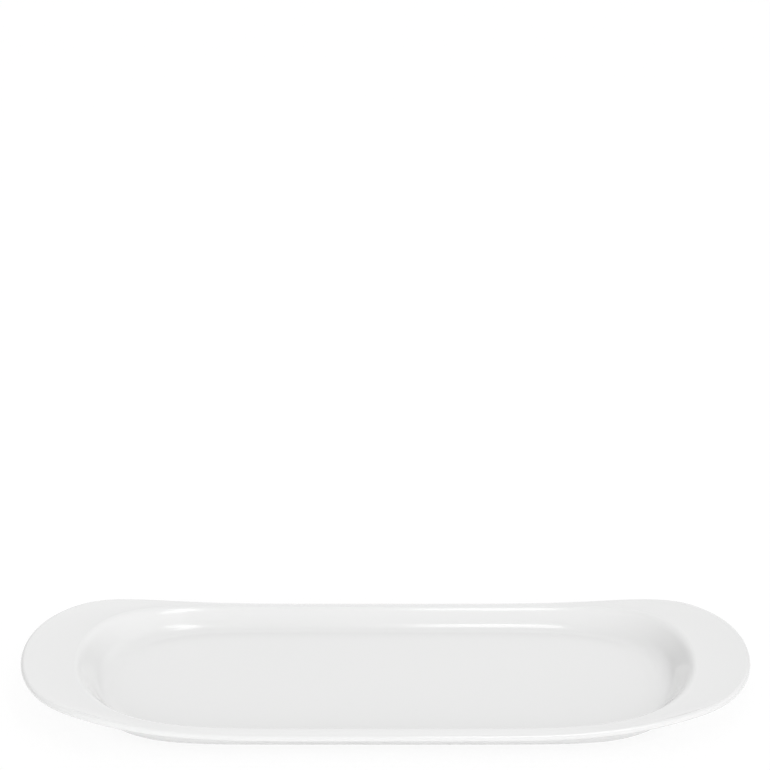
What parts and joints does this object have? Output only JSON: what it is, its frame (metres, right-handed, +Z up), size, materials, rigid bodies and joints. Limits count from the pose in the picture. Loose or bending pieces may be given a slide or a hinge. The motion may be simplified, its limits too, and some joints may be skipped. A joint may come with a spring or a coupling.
{
  "type": "asparagus plate",
  "caption": "Long shallow serving plate of white glazed porcelain: a flat-floored well with narrow rolled side rims, a wide upswept wing at each end to lift it by, and a bare foot underneath.",
  "frame": {"origin": "on the table under the middle of the plate, at the foot's standing face", "axes": "+X along the length of the plate, +Y across it, +Z up"},
  "size_m": [0.4, 0.15, 0.0245],
  "materials": {
    "glazed_porcelain": "clear glossy glaze over white porcelain",
    "bare_porcelain": "matt bare porcelain, ground flat where it stands on the table"
  },
  "bodies": {
    "root": {"plate_body": "glazed_porcelain", "foot_ring": "bare_porcelain"}
  },
  "joints": []
}
